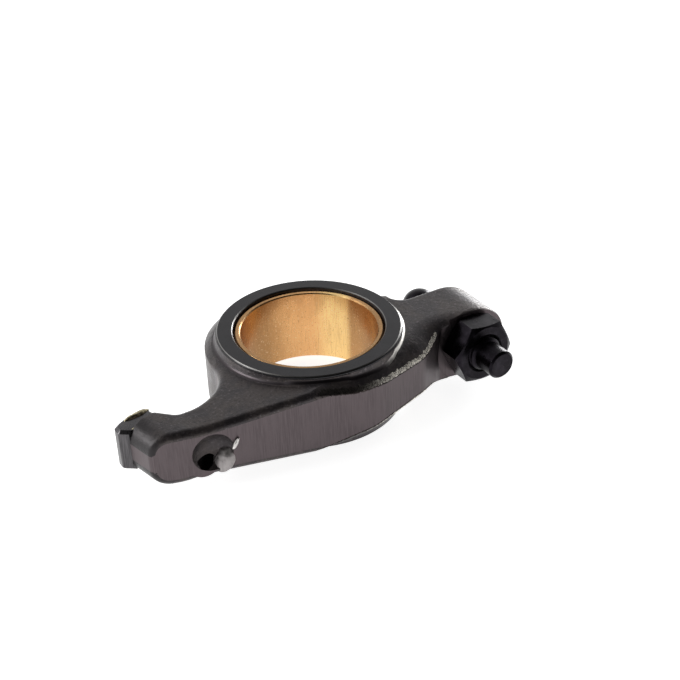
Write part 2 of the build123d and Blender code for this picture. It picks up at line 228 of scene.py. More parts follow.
# ---- materials ---------------------------------------------------------------------------
class Finish:
    """A node material that is put together step by step."""

    def __init__(self, name, metallic=1.0, roughness=0.5):
        self.material = bpy.data.materials.new(name)
        self.material.use_nodes = True
        self.tree = self.material.node_tree
        self.shader = self.tree.nodes["Principled BSDF"]
        self.shader.inputs["Metallic"].default_value = metallic
        self.shader.inputs["Roughness"].default_value = roughness
        self.place = self.tree.nodes.new("ShaderNodeTexCoord").outputs["Object"]

    def put(self, socket, value):
        """Sets an input socket, or links it where value is an output."""
        if isinstance(value, bpy.types.NodeSocket):
            self.tree.links.new(value, socket)
        else:
            socket.default_value = value

    def math(self, operation, *values):
        """The outcome of an operation on numbers or outputs."""
        node = self.tree.nodes.new("ShaderNodeMath")
        node.operation = operation
        for socket, value in zip(node.inputs, values):
            self.put(socket, value)
        return node.outputs[0]

    def parts(self):
        """X, Y and Z of the place on the piece, in millimetres."""
        scaled = self.tree.nodes.new("ShaderNodeVectorMath")
        scaled.operation = "SCALE"
        scaled.inputs["Scale"].default_value = 1 / MM
        self.put(scaled.inputs[0], self.place)
        node = self.tree.nodes.new("ShaderNodeSeparateXYZ")
        self.put(node.inputs[0], scaled.outputs[0])
        return node.outputs

    def ramp(self, value, low, high, start=0.0, end=1.0):
        """A smooth step from start to end as value goes from low to high."""
        node = self.tree.nodes.new("ShaderNodeMapRange")
        node.interpolation_type = "SMOOTHSTEP"
        for socket, number in zip(node.inputs, (value, low, high, start, end)):
            self.put(socket, number)
        return node.outputs[0]

    def noise(self, grain, stretch=(1, 1, 1), detail=4.0, roughness=0.55):
        """Noise with grains of a width in millimetres, longer where an axis's share is less."""
        mapping = self.tree.nodes.new("ShaderNodeMapping")
        self.put(mapping.inputs["Vector"], self.place)
        mapping.inputs["Scale"].default_value = [share / (grain * MM) for share in stretch]
        node = self.tree.nodes.new("ShaderNodeTexNoise")
        self.put(node.inputs["Vector"], mapping.outputs[0])
        node.inputs["Scale"].default_value = 1.0
        node.inputs["Detail"].default_value = detail
        node.inputs["Roughness"].default_value = roughness
        return node.outputs["Fac"]

    def blend(self, factor, first, second):
        """A colour between first and second."""
        node = self.tree.nodes.new("ShaderNodeMix")
        node.data_type = "RGBA"
        for name, value in (("Factor_Float", factor), ("A_Color", first), ("B_Color", second)):
            socket = next(s for s in node.inputs if s.identifier == name)
            if not isinstance(value, bpy.types.NodeSocket) and name != "Factor_Float":
                value = (*value[:3], 1.0)
            self.put(socket, value)
        return next(s for s in node.outputs if s.identifier == "Result_Color")

    def bump(self, height, depth, strength=1.0, over=None):
        """A normal for relief with a depth in millimetres."""
        node = self.tree.nodes.new("ShaderNodeBump")
        node.inputs["Distance"].default_value = depth * MM
        node.inputs["Strength"].default_value = strength
        self.put(node.inputs["Height"], height)
        if over is not None:
            self.put(node.inputs["Normal"], over)
        return node.outputs[0]

    def set(self, **values):
        """Sets the shader's sockets by name, with _ for a space."""
        for name, value in values.items():
            self.put(self.shader.inputs[name.replace("_", " ")], value)
        return self.material


def shade(colour, factor):
    """A colour made lighter or darker."""
    return tuple(min(1.0, channel * factor) for channel in colour)


def forged_skin(colour, end_darkening_start, end_darkening_end):
    """Phosphated and oiled forging scale, darker towards the valve end."""
    finish = Finish("forged_skin")
    grain = finish.noise(0.7, detail=7, roughness=0.65)
    patches = finish.noise(6.0, detail=5)
    pits = finish.noise(1.7, detail=5)
    warm = (colour[0] * 1.18, colour[1] * 1.14, colour[2] * 1.02)
    tone = finish.blend(finish.ramp(patches, 0.38, 0.62), shade(colour, 0.75), warm)
    tone = finish.blend(finish.ramp(grain, 0.54, 0.72), tone, shade(colour, 2.3))
    tone = finish.blend(finish.ramp(grain, 0.46, 0.34), tone, shade(colour, 0.55))
    x = finish.parts()["X"]
    ragged = finish.math("ADD", x, finish.math("MULTIPLY", pits, 4.0))
    # darker towards the valve end, with a ragged edge
    end_darkened = finish.ramp(ragged, end_darkening_start, end_darkening_end, 1.0, 0.0)
    tone = finish.blend(end_darkened, tone, shade(colour, 0.35))
    fine = finish.bump(grain, 0.08, 0.8)
    coarse = finish.bump(pits, 0.14, 0.8, over=fine)
    return finish.set(
        Base_Color=tone,
        Roughness=finish.ramp(patches, 0.3, 0.7, 0.30, 0.42),
        Metallic=0.6,
        Normal=coarse,
    )


def root_painted_highlight(colour):
    """The ring's root, with a painted highlight that grows towards the screw end and the front."""
    finish = Finish("root_painted_highlight")
    wear_and_highlight_noise = finish.noise(1.5, detail=4)
    x, y, _ = finish.parts()
    ragged = finish.math("ADD", x, finish.math("MULTIPLY", wear_and_highlight_noise, 4.0))
    # painted highlight: the fillet is lighter towards the screw end (+X) and the front (-Y)
    bright = finish.math("MULTIPLY", finish.ramp(ragged, 9.0, 20.0), finish.ramp(y, 0.0, -8.0))
    tone = finish.blend(bright, colour, (0.90, 0.87, 0.82))
    return finish.set(Base_Color=tone, Roughness=0.32, Normal=finish.bump(wear_and_highlight_noise, 0.05, 0.6))


def trimmed_wall(colour):
    """The wall that the trimming die sheared, with fine upright lines."""
    finish = Finish("trimmed_wall")
    lines = finish.noise(0.35, stretch=(1, 1, 0.05), detail=3)
    patches = finish.noise(5.0, stretch=(1, 1, 0.4), detail=4)
    tone = finish.blend(finish.ramp(lines, 0.35, 0.7), shade(colour, 0.88), shade(colour, 1.12))
    tone = finish.blend(finish.ramp(patches, 0.4, 0.7), tone, shade(colour, 1.15))
    return finish.set(
        Base_Color=tone,
        Roughness=finish.ramp(patches, 0.3, 0.7, 0.34, 0.46),
        Normal=finish.bump(lines, 0.03, 0.45),
    )


def machined_steel(colour):
    """Turned face with fine rings about the bore."""
    finish = Finish("machined_steel")
    x, y, _ = finish.parts()
    squares = finish.math("ADD", finish.math("MULTIPLY", x, x), finish.math("MULTIPLY", y, y))
    feed = 0.18    # width of one turned line, in millimetres
    radius = finish.math("SQRT", squares)
    turning = finish.math("SINE", finish.math("MULTIPLY", radius, 2 * pi / feed))
    patches = finish.noise(4.0, detail=4)
    tone = finish.blend(finish.ramp(patches, 0.35, 0.7), shade(colour, 0.9), shade(colour, 1.15))
    return finish.set(
        Base_Color=tone,
        Roughness=finish.ramp(patches, 0.3, 0.7, 0.32, 0.42),
        Normal=finish.bump(turning, 0.004, 0.5),
    )


def ring_edge(colour):
    """The rings' chamfers: dark, and rubbed bright along the corner with the face."""
    finish = Finish("ring_edge")
    wear_and_highlight_noise = finish.noise(1.2, detail=4)
    z = finish.parts()["Z"]
    corner = HUB_HALF - 0.22    # the wear starts under the face
    height = finish.math("ADD", finish.math("ABSOLUTE", z), finish.math("MULTIPLY", wear_and_highlight_noise, 0.12))
    worn = finish.ramp(height, corner, corner + 0.12)
    tone = finish.blend(worn, shade(colour, 0.7), (0.17, 0.165, 0.16))
    return finish.set(Base_Color=tone, Roughness=0.35, Normal=finish.bump(wear_and_highlight_noise, 0.03, 0.5))


def bright_steel(name, colour, roughness, grain=0.4):
    """Bare steel."""
    finish = Finish(name)
    scratches = finish.noise(grain, stretch=(1, 1, 0.3), detail=4)
    tone = finish.blend(finish.ramp(scratches, 0.3, 0.7), shade(colour, 0.7), shade(colour, 1.1))
    return finish.set(
        Base_Color=tone,
        Roughness=finish.ramp(scratches, 0.3, 0.7, roughness, roughness + 0.15),
        Normal=finish.bump(scratches, 0.03, 0.5),
    )


def flash_steel():
    """Torn steel, with a painted highlight that fades in towards the screw end, and dull towards
    the valve end.
    """
    finish = Finish("flash_steel")
    tears = finish.noise(0.36, stretch=(1.2, 1, 0.8), detail=6)
    # painted highlight: the torn steel's light specks fade in towards the screw end
    painted_highlight_share = finish.ramp(finish.parts()["X"], -4.0, 12.0, 0.02, 1.0)
    bright = finish.math("MULTIPLY", painted_highlight_share, finish.ramp(tears, 0.36, 0.60, 0.12, 1.0))
    tone = finish.blend(bright, (0.035, 0.030, 0.028), (0.95, 0.90, 0.81))
    return finish.set(
        Base_Color=tone,
        Roughness=finish.ramp(tears, 0.3, 0.7, 0.36, 0.55),
        Normal=finish.bump(tears, 0.10, 0.8),
    )


def bush_bronze(colour, highlight_angle):
    """Bored bronze, brushed along the bore, with a painted highlight band round the bore and
    painted shade on both sides of it.
    """
    finish = Finish("bored_bronze")
    speckle = finish.noise(0.45, detail=6)
    streaks = finish.noise(0.30, stretch=(1, 1, 0.06), detail=3)
    patches = finish.noise(5.0, stretch=(1, 1, 0.5), detail=4)
    x, y, _ = finish.parts()
    round_bore = finish.math("ARCTAN2", y, x)
    off_highlight = finish.math("SUBTRACT", round_bore, highlight_angle)
    wavering = finish.math("ADD", off_highlight, finish.math("MULTIPLY", patches, 0.08))
    # painted shade and painted highlight: a light band at the highlight angle, darker on both
    # sides of it
    tone = finish.blend(finish.ramp(wavering, 1.30, 0.40), shade(colour, 0.45), colour)
    tone = finish.blend(finish.ramp(wavering, 0.42, 0.05), tone, shade(colour, 1.5))
    tone = finish.blend(finish.ramp(wavering, -0.14, -0.28), tone, shade(colour, 0.62))
    tone = finish.blend(finish.ramp(wavering, -0.35, -0.80), tone, shade(colour, 0.38))
    tone = finish.blend(finish.ramp(streaks, 0.45, 0.75, 0.0, 0.45), tone, shade(colour, 0.62))
    tone = finish.blend(finish.ramp(speckle, 0.56, 0.74, 0, 0.6), tone, (0.93, 0.72, 0.44))
    tone = finish.blend(finish.ramp(speckle, 0.40, 0.28, 0, 0.7), tone, (0.22, 0.13, 0.06))
    rough = finish.bump(streaks, 0.03, 0.5)
    return finish.set(
        Base_Color=tone,
        Roughness=finish.ramp(patches, 0.3, 0.7, 0.22, 0.34),
        Normal=finish.bump(speckle, 0.02, 0.5, over=rough),
    )


def ground_pad():
    """Ground and hardened contact steel."""
    finish = Finish("ground_pad")
    lines = finish.noise(0.3, stretch=(1, 1, 0.05), detail=3)
    tone = finish.blend(finish.ramp(lines, 0.3, 0.7), (0.050, 0.048, 0.050), (0.105, 0.10, 0.104))
    return finish.set(Base_Color=tone, Roughness=0.3, Normal=finish.bump(lines, 0.02, 0.5))


def braze_brass():
    """Solidified braze."""
    finish = Finish("braze_brass")
    lumps = finish.noise(0.8, detail=4)
    tone = finish.blend(finish.ramp(lumps, 0.35, 0.7), (0.26, 0.23, 0.15), (0.66, 0.58, 0.40))
    return finish.set(Base_Color=tone, Roughness=0.35, Normal=finish.bump(lumps, 0.05, 0.5))


def black_oxide(name, colour=(0.011, 0.0095, 0.012), worn=0.06):
    """Oiled black finish with a little wear in scattered spots."""
    finish = Finish(name)
    grain = finish.noise(0.5, detail=5)
    patches = finish.noise(3.0, detail=4)
    tone = finish.blend(finish.ramp(patches, 0.45, 0.75), colour, shade(colour, 2.2))
    tone = finish.blend(finish.ramp(grain, 0.62, 0.8, 0, worn), tone, (0.35, 0.35, 0.36))
    return finish.set(
        Base_Color=tone,
        Roughness=finish.ramp(patches, 0.3, 0.7, 0.25, 0.4),
        Normal=finish.bump(grain, 0.02, 0.5),
    )


# ---- mesh helpers --------------------------------------------------------------------------
def new_piece(name, mesh, materials, body):
    """An object at the origin that rides on a body and takes the given finishes."""
    piece = bpy.data.objects.new(name, mesh)
    bpy.context.scene.collection.objects.link(piece)
    if mesh.materials:
        mesh.materials.clear()
    for material in materials:
        mesh.materials.append(material)
    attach(piece, body)
    return piece


def dress(node, material):
    """Gives a CAD node its finished material."""
    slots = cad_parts[node].data.materials
    slots.clear()
    slots.append(material)


class Recipe:
    """A Geometry Nodes tree that is put together step by step."""

    def __init__(self, name, sizes):
        self.tree = bpy.data.node_groups.new(name, "GeometryNodeTree")
        sockets = self.tree.interface
        sockets.new_socket("Path", in_out="INPUT", socket_type="NodeSocketGeometry")
        self.codes = {}
        for label, kind in (*sizes.items(), ("Finish", "Material")):
            socket = sockets.new_socket(label, in_out="INPUT", socket_type="NodeSocket" + kind)
            self.codes[label] = socket.identifier
        sockets.new_socket("Result", in_out="OUTPUT", socket_type="NodeSocketGeometry")
        self.given = self.tree.nodes.new("NodeGroupInput").outputs

    def add(self, kind, inputs=None, **settings):
        """Adds a node with its inputs and settings, and returns its outputs."""
        node = self.tree.nodes.new(kind)
        for name, value in settings.items():
            setattr(node, name, value)
        for name, value in (inputs or {}).items():
            socket = node.inputs[name]
            if isinstance(value, bpy.types.NodeSocket):
                self.tree.links.new(value, socket)
            else:
                socket.default_value = value
        return node.outputs

    def math(self, operation, *values):
        """The outcome of an operation on numbers or outputs."""
        return self.add("ShaderNodeMath", dict(enumerate(values)), operation=operation)[0]

    def merged(self, geometry):
        """The geometry with its seams and poles closed."""
        inputs = {"Geometry": geometry, "Distance": 2 * JOIN}
        return self.add("GeometryNodeMergeByDistance", inputs)[0]

    def finish(self, geometry):
        """Ends the tree in plain geometry with its finish."""
        smooth = self.add("GeometryNodeSetShadeSmooth", {"Geometry": geometry})[0]
        plain = self.add("GeometryNodeRealizeInstances", {"Geometry": smooth})[0]
        inputs = {"Geometry": plain, "Material": self.given["Finish"]}
        dressed = self.add("GeometryNodeSetMaterial", inputs)[0]
        result = self.tree.nodes.new("NodeGroupOutput")
        self.tree.links.new(dressed, result.inputs[0])

    def make(self, name, points, sizes, finish, body, slot):
        """Runs the tree on a path and returns the result as a plain piece."""
        path = bpy.data.meshes.new(name + "_path")
        links = [(k, k + 1) for k in range(len(points) - 1)]
        path.from_pydata([Vector(point) * MM for point in points], links, [])
        host = bpy.data.objects.new(name + "_host", path)
        bpy.context.scene.collection.objects.link(host)
        step = host.modifiers.new("recipe", "NODES")
        step.node_group = self.tree
        for label, value in (*sizes.items(), ("Finish", finish)):
            step[self.codes[label]] = value
        graph = bpy.context.evaluated_depsgraph_get()
        mesh = bpy.data.meshes.new_from_object(host.evaluated_get(graph))
        mesh.name = name
        bpy.data.objects.remove(host)
        return new_piece(name, mesh, [finish], body)


def ragged_bead():
    """The tree for a lumpy bead along a path, thin at both ends."""
    recipe = Recipe("ragged_bead", dict.fromkeys(("Radius", "Lumps", "Grain", "Seed"), "Float"))
    given, add, math = recipe.given, recipe.add, recipe.math
    curve = add("GeometryNodeMeshToCurve", {"Mesh": given["Path"]})[0]
    even = add("GeometryNodeResampleCurve", {"Curve": curve, "Count": 72})[0]
    along = add("GeometryNodeSplineParameter")["Factor"]
    room = math("MULTIPLY", along, math("SUBTRACT", 1.0, along))
    taper = math("POWER", math("MULTIPLY", room, 4.0), 0.5)
    ring = {"Resolution": 22, "Radius": given["Radius"]}
    section = add("GeometryNodeCurvePrimitiveCircle", ring)[0]
    swept = {"Curve": even, "Profile Curve": section, "Scale": taper}
    closed = recipe.merged(add("GeometryNodeCurveToMesh", swept)[0])
    place = add("GeometryNodeInputPosition")[0]
    fine = add("ShaderNodeVectorMath", {0: place, "Scale": 1 / MM}, operation="SCALE")[0]
    grains = add(
        "ShaderNodeTexNoise",
        {"Vector": fine, "W": given["Seed"], "Scale": given["Grain"], "Detail": 3.0},
        noise_dimensions="4D",
    )[0]
    lift = math("MULTIPLY", math("SUBTRACT", grains, 0.5), given["Lumps"])
    outward = add("GeometryNodeInputNormal")[0]
    push = add("ShaderNodeVectorMath", {0: outward, "Scale": lift}, operation="SCALE")[0]
    recipe.finish(add("GeometryNodeSetPosition", {"Geometry": closed, "Offset": push})[0])
    return recipe


def turned_screw():
    """The tree that turns a profile about an upright axis and cuts a thread in it."""
    lengths = dict.fromkeys(("Axis", "Pitch", "Depth", "Thread Low", "Thread High"), "Float")
    recipe = Recipe("turned_screw", lengths | {"Around": "Int", "Along": "Int"})
    given, add, math = recipe.given, recipe.add, recipe.math
    profile = add("GeometryNodeMeshToCurve", {"Mesh": given["Path"]})[0]
    steps = {"Vertices X": given["Around"], "Vertices Y": given["Along"]}
    net = add("GeometryNodeMeshGrid", {"Size X": 1.0, "Size Y": 1.0, **steps})["Mesh"]
    share = add("ShaderNodeSeparateXYZ", {0: add("GeometryNodeInputPosition")[0]})
    turn = math("ADD", share["X"], 0.5)
    travel = math("ADD", share["Y"], 0.5)
    sample = {"Curves": profile, "Factor": travel}
    outline = add("GeometryNodeSampleCurve", sample, mode="FACTOR")["Position"]
    section = add("ShaderNodeSeparateXYZ", {0: outline})
    height = section["Y"]
    # the groove is a wave of the height and the turn, with flats at its crest and its root
    wind = math("ADD", math("DIVIDE", height, given["Pitch"]), turn)
    wave = math("ABSOLUTE", math("SUBTRACT", math("FRACT", wind), 0.5))
    flats = {"Value": wave, "From Min": 0.06, "From Max": 0.44, "To Min": 1.0, "To Max": 0.0}
    groove = add("ShaderNodeMapRange", flats)[0]
    # it runs out over a share of the pitch at both ends
    runout = math("MULTIPLY", given["Pitch"], 0.6)
    rise = math("SUBTRACT", height, given["Thread Low"])
    fall = math("SUBTRACT", given["Thread High"], height)
    inside = math("DIVIDE", math("MINIMUM", rise, fall), runout)
    mask = add("ShaderNodeMapRange", {"Value": inside}, interpolation_type="SMOOTHSTEP")[0]
    cut = math("MULTIPLY", math("MULTIPLY", groove, mask), given["Depth"])
    radius = math("SUBTRACT", section["X"], cut)
    around = math("MULTIPLY", turn, 2 * pi)
    across = math("ADD", given["Axis"], math("MULTIPLY", radius, math("COSINE", around)))
    deep = math("MULTIPLY", radius, math("SINE", around))
    turned = add("ShaderNodeCombineXYZ", {"X": across, "Y": height, "Z": deep})[0]
    form = add("GeometryNodeSetPosition", {"Geometry": net, "Position": turned})[0]
    recipe.finish(recipe.merged(form))
    return recipe


class ArmSurface:
    """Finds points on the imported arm, in millimetres."""

    def __init__(self):
        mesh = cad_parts["rocker_arm"].data
        places = [vertex.co / MM for vertex in mesh.vertices]
        self.tree = BVHTree.FromPolygons(places, [p.vertices for p in mesh.polygons])

    def hit(self, start, ahead):
        """The first point and normal along a ray."""
        point, normal, _, _ = self.tree.ray_cast(Vector(start), Vector(ahead))
        if point is None:
            raise RuntimeError(f"no part of the arm lies ahead of {tuple(start)}")
        return point, normal

    def front(self, x, z):
        """The front wall, or the rounding over it, at x and z."""
        return self.hit((x, ARM_LOW.y / MM - RAY_START, z), (0, 1, 0))

    def crease(self, x, side):
        """Height at which the upright wall ends, above (side 1) or below (side -1)."""
        bent = 0.04    # the wall has ended where it lies this far back
        wall = self.front(x, side)[0].y
        low, high = 1.0, HUB_HALF - 2.5
        for _ in range(20):
            middle = (low + high) / 2
            if self.front(x, side * middle)[0].y - wall < bent:
                low = middle
            else:
                high = middle
        return low

    def face(self, radius, turn, side):
        """The forged face's height at a radius and a turn round the bore."""
        start = (radius * cos(turn), radius * sin(turn), side * (HUB_HALF + RAY_START))
        return self.hit(start, (0, 0, -side))[0].z * side


def strip_mesh(name, sections, corners, marked=(), closed=False):
    """A form through sections, in millimetres, with sharp edges along its corners.

    Each section is a loop of points. The marked steps of the loop take the second finish.
    A closed form runs from its last section back to its first, and any other gets two caps.
    """
    form = bmesh.new()
    net = [[form.verts.new(Vector(point) * MM) for point in section] for section in sections]
    pairs = list(zip(net, net[1:]))
    if closed:
        pairs.append((net[-1], net[0]))
    else:
        form.faces.new(net[0])
        form.faces.new(net[-1])
    count = len(net[0])
    for first, second in pairs:
        for step in range(count):
            after = (step + 1) % count
            face = form.faces.new((first[step], first[after], second[after], second[step]))
            face.smooth = True
            face.material_index = int(step in marked)
        for corner in corners:
            form.edges.get((first[corner], second[corner])).smooth = False
    bmesh.ops.recalc_face_normals(form, faces=form.faces)
    return plain_mesh(name, form)


def plain_mesh(name, form):
    """A new mesh from a bmesh, which is freed."""
    mesh = bpy.data.meshes.new(name)
    form.to_mesh(mesh)
    form.free()
    return mesh


def merged_copy(node, name):
    """A copy of a CAD node's mesh with its triangles joined and its shading kept."""
    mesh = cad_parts[node].data.copy()
    mesh.name = name
    normals = [0.0] * (3 * len(mesh.loops))
    mesh.corner_normals.foreach_get("vector", normals)
    shading = mesh.attributes.new("shading", "FLOAT_VECTOR", "CORNER")
    shading.data.foreach_set("vector", normals)
    form = bmesh.new()
    form.from_mesh(mesh)
    bmesh.ops.remove_doubles(form, verts=form.verts, dist=JOIN)
    form.to_mesh(mesh)
    form.free()
    shading = mesh.attributes["shading"]
    mesh.normals_split_custom_set([tuple(corner.vector) for corner in shading.data])
    mesh.attributes.remove(mesh.attributes["shading"])
    return mesh


def point_outwards(mesh, inside):
    """Turns the mesh over if its faces point at the inside."""
    turned = sum((polygon.center - inside).dot(polygon.normal) for polygon in mesh.polygons)
    if turned < 0:
        mesh.flip_normals()


# ---- arm -----------------------------------------------------------------------------------
class ROCKER_OT_arm(bpy.types.Operator):
    """Dresses the forging, region by region"""

    bl_idname = "rocker.arm"
    bl_label = "Dress the arm"

    SKIN, WALL, RING_FACE, RING_EDGE = range(4)    # places of the finishes

    def execute(self, context):
        settings = in_mm(context.scene.rocker_forging)
        mesh = merged_copy("rocker_arm", "arm_forging")
        finishes = [
            forged_skin(settings.skin, *settings.end_darkening),
            trimmed_wall(settings.wall),
            machined_steel(settings.machined),
            ring_edge(settings.machined),
        ]
        piece = new_piece("arm_forging", mesh, finishes, "arm")
        for polygon in mesh.polygons:
            polygon.material_index = self.region(polygon, settings)
        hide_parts("rocker_arm")
        return {"FINISHED"}

    def region(self, polygon, settings):
        """Place of the finish that a face of the arm has."""
        x, y, z = (c / MM for c in polygon.center)
        radius = hypot(x, y)
        lean = abs(polygon.normal.z)
        ring_foot = HUB_HALF - settings.ring_height + SUNK
        ring_reach = settings.ring_radius + 1.6
        bore_reach = 22.0      # the bore's own walls lie nearer to its axis
        wall_half = 9.0        # the trimmed walls end below this height
        if abs(z) > ring_foot and radius < ring_reach:
            return self.RING_EDGE if 0.2 < lean < 0.9 else self.RING_FACE
        if lean < 0.02 and y < 0 and abs(z) < wall_half and radius > bore_reach:
            return self.WALL
        return self.SKIN


class ROCKER_OT_ring_root(bpy.types.Operator):
    """Adds the hollow fillets between the machined rings and the forged faces"""

    bl_idname = "rocker.ring_root"
    bl_label = "Add the ring roots"

    def execute(self, context):
        settings = in_mm(context.scene.rocker_forging)
        surface = ArmSurface()
        finishes = [bpy.data.materials["forged_skin"], root_painted_highlight(settings.skin)]
        turns = [2 * pi * step / 180 for step in range(180)]
        for name, side in (("ring_root_upper", 1), ("ring_root_lower", -1)):
            rows = [self.row(surface, settings, turn, side) for turn in turns]
            # steps 4 to 7 of each section take the painted highlight
            mesh = strip_mesh(name, rows, (0, 1, 10, 11), marked=(4, 5, 6, 7), closed=True)
            new_piece(name, mesh, finishes, "arm")
        return {"FINISHED"}

    @staticmethod
    def row(surface, settings, turn, side):
        """The fillet's section at a turn, from the ring's side out onto the forged face."""
        rim = settings.ring_radius + settings.rim_draft
        top = HUB_HALF - settings.rim_top
        drop = top - surface.face(rim + 0.2, turn, side)
        foot = rim + settings.draft * max(0.0, drop - settings.draft_start)
        corner = surface.face(foot, turn, side)
        outer = foot + settings.root_reach
        ground = surface.face(outer, turn, side)
        bend = min(1.0, settings.root_reach / hypot(foot - rim, top - corner))
        wall = (foot + (rim - foot) * bend, corner + (top - corner) * bend)
        steps = 8
        section = [(settings.ring_radius - 0.1, top), (rim - SUNK, top)]
        for k in range(steps + 1):
            t = k / steps
            radius = (1 - t) ** 2 * wall[0] + 2 * t * (1 - t) * foot + t * t * outer
            height = (1 - t) ** 2 * wall[1] + 2 * t * (1 - t) * corner + t * t * (ground - SUNK)
            section.append((radius, height))
        buried = (settings.ring_radius - 0.3, min(corner, ground) - 0.6)
        section.append(buried)
        return [(r * cos(turn), r * sin(turn), side * height) for r, height in section]


class ROCKER_OT_flash(bpy.types.Operator):
    """Adds the ragged strips that trimming leaves over and under the front wall"""

    bl_idname = "rocker.flash"
    bl_label = "Add the trimmed flash"

    def execute(self, context):
        settings = in_mm(context.scene.rocker_flash)
        surface = ArmSurface()
        # the second finish is painted shade: a dark band along the crease
        finishes = [flash_steel(), black_oxide("crease_painted_shade", (0.022, 0.018, 0.017))]
        span = settings.end - settings.start
        count = round(span / settings.step)
        for name, side in (("trim_flash_upper", 1), ("trim_flash_lower", -1)):
            rows = []
            for step in range(count + 1):
                x = settings.start + span * step / count
                # it comes up over a sixth of its length and runs out over a twelfth
                fade = min(1.0, 6 * step / count, 12 * (count - step) / count)
                rows.append(self.row(surface, settings, x, side, fade))
            # steps 0 to 2, next to the wall, take the painted shade
            mesh = strip_mesh(name, rows, (0, 10, 11), marked=(0, 1, 2))
            new_piece(name, mesh, finishes, "arm")
        return {"FINISHED"}

    @staticmethod
    def row(surface, settings, x, side, fade):
        """The strip's section at x, from the wall up over the crease."""
        crease = surface.crease(x, side)
        ragged = noise.noise(Vector((x * 1.7, settings.seed, side)))
        low = crease - 0.45 + 0.15 * ragged
        high = crease + settings.width * (0.85 + 0.35 * noise.noise(Vector((x * 0.9, 3, side))))
        steps = 10
        section = []
        for k in range(steps + 1):
            t = k / steps
            point, normal = surface.front(x, side * (low + (high - low) * t))
            swell = sin(pi * t) ** 0.6
            lean = Vector((x * 3.4 + t * 4.0, t * 1.5, settings.seed))
            grain = noise.noise(lean) + 0.6 * noise.noise(lean * 2.3)
            proud = fade * settings.height * swell * (0.55 + 0.7 * grain) - 0.03
            section.append(point + normal * proud)
        buried = 0.8    # the last corner lies this far back and in
        middle = (section[0] + section[-1]) / 2
        section.append(middle + Vector((0, buried, -buried * side)))
        return section


class ROCKER_OT_pocket(bpy.types.Operator):
    """Adds the burr and the raised lip round the forged pocket, and trues its oil hole"""

    bl_idname = "rocker.pocket"
    bl_label = "Finish the pocket"

    def execute(self, context):
        settings = in_mm(context.scene.rocker_pocket)
        surface = ArmSurface()
        hole_x, hole_z = settings.hole
        beside = surface.front(hole_x - 6, hole_z)[0]
        slope = surface.front(hole_x - 5, hole_z)[0].y - beside.y

        def wall(x):
            """Y of the front wall at x, as if it had no pocket."""
            return beside.y + slope * (x - beside.x)

        self.beads(settings, wall)
        self.rim(settings, wall)
        return {"FINISHED"}

    @staticmethod
    def beads(settings, wall):
        """The lip beside the pocket and the burr over it."""
        tree = ragged_bead()
        torn = bright_steel("pocket_burr", (0.72, 0.69, 0.67), 0.3)
        pressed = bright_steel("pocket_lip", (0.40, 0.375, 0.37), 0.5, 0.9)
        for name, finish, radius, depth, corners in (
            ("pocket_lip", pressed, settings.lip_radius, settings.lip_depth, settings.lip),
            ("pocket_burr", torn, settings.burr_radius, settings.burr_depth, settings.burr),
        ):
            path = [(x, wall(x) + depth, z) for x, z in zip(corners[0::2], corners[1::2])]
            sizes = {
                "Radius": radius * MM, "Lumps": settings.lumps * MM, "Grain": 0.75, "Seed": 5.0
            }
            tree.make(name, path, sizes, finish, "arm", "forged_steel")

    @staticmethod
    def rim(settings, wall):
        """The trued strip along the oil hole's outer side, clipped at the pocket's rim."""
        hole = Vector((settings.hole[0], 0, settings.hole[1]))
        middle = Vector((settings.centre[0], 0, settings.centre[1]))
        gap = hole - middle
        start, sweep, turns = 150, 165, 40    # first angle and sweep in degrees, and steps
        across, thickness, least = 4, 0.3, 0.05
        rows = []
        for step in range(turns + 1):
            turn = radians(start + sweep * step / turns)
            ahead = Vector((cos(turn), 0, sin(turn)))
            crossing = -gap.dot(ahead) + sqrt(gap.dot(ahead) ** 2 - gap.dot(gap) + settings.rim**2)
            inner = max(settings.hole_radius, crossing - least)
            outer = max(inner + least, settings.hole_radius + settings.patch)
            row = []
            for k in range(across + 1):
                place = hole + ahead * (inner + (outer - inner) * k / across)
                row.append((place.x, wall(place.x) - SUNK, place.z))
            rows.append(row + [(x, y + thickness, z) for x, y, z in (row[-1], row[0])])
        mesh = strip_mesh("oil_hole_rim", rows, (0, 4, 5, 6))
        finish = bpy.data.materials["trimmed_wall"]
        new_piece("oil_hole_rim", mesh, [finish], "arm")


# ---- bush, pad, nut, screw -----------------------------------------------------------------
class ROCKER_OT_bush(bpy.types.Operator):
    """Dresses the pressed bush"""

    bl_idname = "rocker.bush"
    bl_label = "Dress the bush"

    def execute(self, context):
        settings = context.scene.rocker_bush
        dress("bush", bush_bronze(tuple(settings.bronze), settings.highlight_angle))
        return {"FINISHED"}


